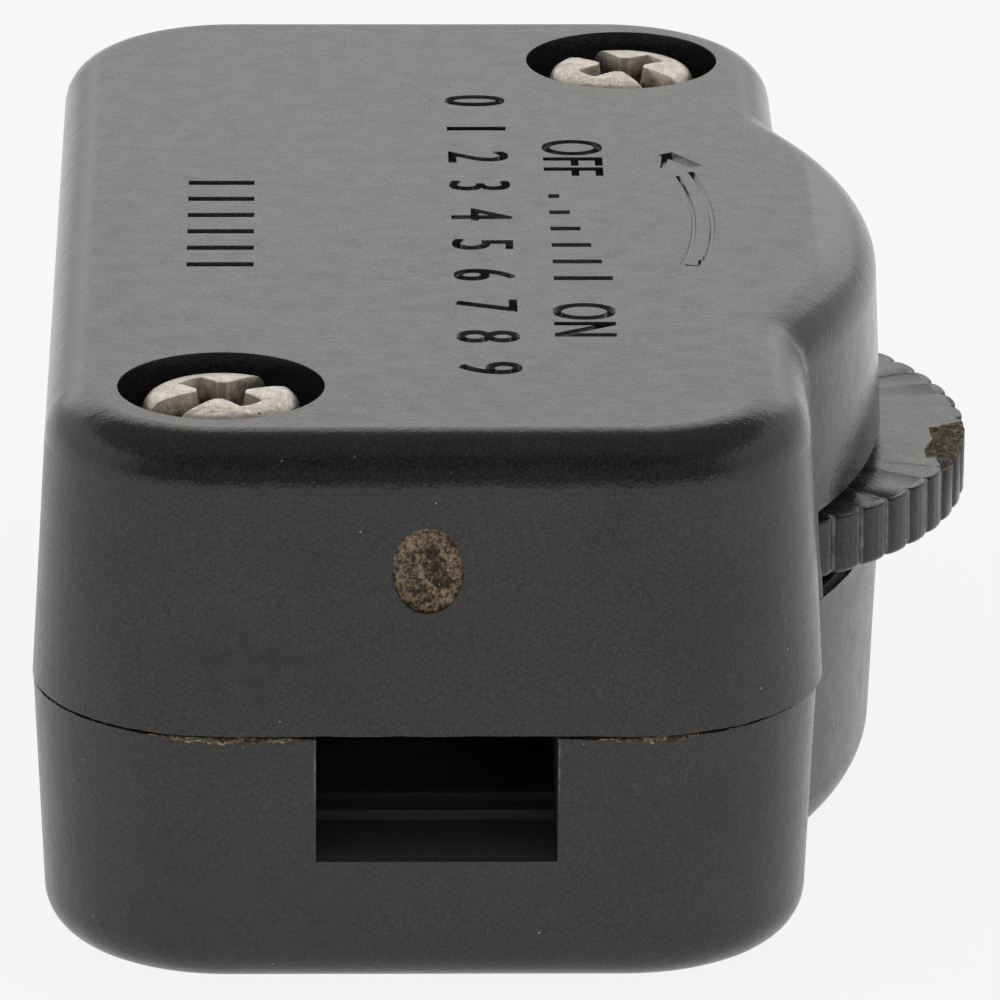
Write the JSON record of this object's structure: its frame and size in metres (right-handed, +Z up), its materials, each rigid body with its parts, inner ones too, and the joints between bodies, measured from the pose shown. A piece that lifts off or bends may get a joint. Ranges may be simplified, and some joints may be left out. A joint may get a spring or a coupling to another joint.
{
  "type": "inline cord switch",
  "caption": "Black inline cord switch: drafted shells with a seam, a ribbed thumbwheel in a side bulge, sunk screws and a channel for a flat twin cord.",
  "frame": {"origin": "on the resting plane, below the middle of the shells without the bulge", "axes": "+X towards the thumbwheel, +Y along the cord away from the near screw, +Z up"},
  "size_m": [0.0336, 0.0514, 0.02],
  "materials": {
    "shell": "moulded phenolic, satin with a fine grain",
    "wheel": "moulded phenolic, satin",
    "screw": "nickel plated, slightly worn",
    "brass": "bright",
    "pin": "turned",
    "board": "phenolic paper laminate",
    "card": "grey insulating card",
    "carbon": "printed carbon",
    "heat_sink": "plain sheet",
    "triac": "moulded epoxy",
    "capacitor": "dipped",
    "diac": "glass bead",
    "resistor": "lacquered"
  },
  "bodies": {
    "housing": {"upper_shell": "shell", "lower_shell": "shell", "screw_near": "screw", "screw_far": "screw", "insert_near": "brass", "insert_far": "brass", "wheel_pin": "pin", "stop_pin": "pin", "circuit_board": "board", "insulator_card": "card", "collector_ring": "brass", "carbon_track": "carbon", "switch_arc": "brass", "prong_front": "brass", "prong_back": "brass", "heat_sink": "heat_sink", "triac": "triac", "capacitor": "capacitor", "diac": "diac", "gate_resistor": "resistor", "bleed_resistor": "resistor"},
    "wheel": {"thumbwheel": "wheel", "wiper": "brass", "switch_bridge": "brass"}
  },
  "joints": [
    {"name": "wheel_turn", "type": "hinge", "parent": "housing", "child": "wheel", "pos_m": [0.00645, 0, 0.011], "axis": [0, 0, 1], "range_deg": [0, 300]}
  ]
}
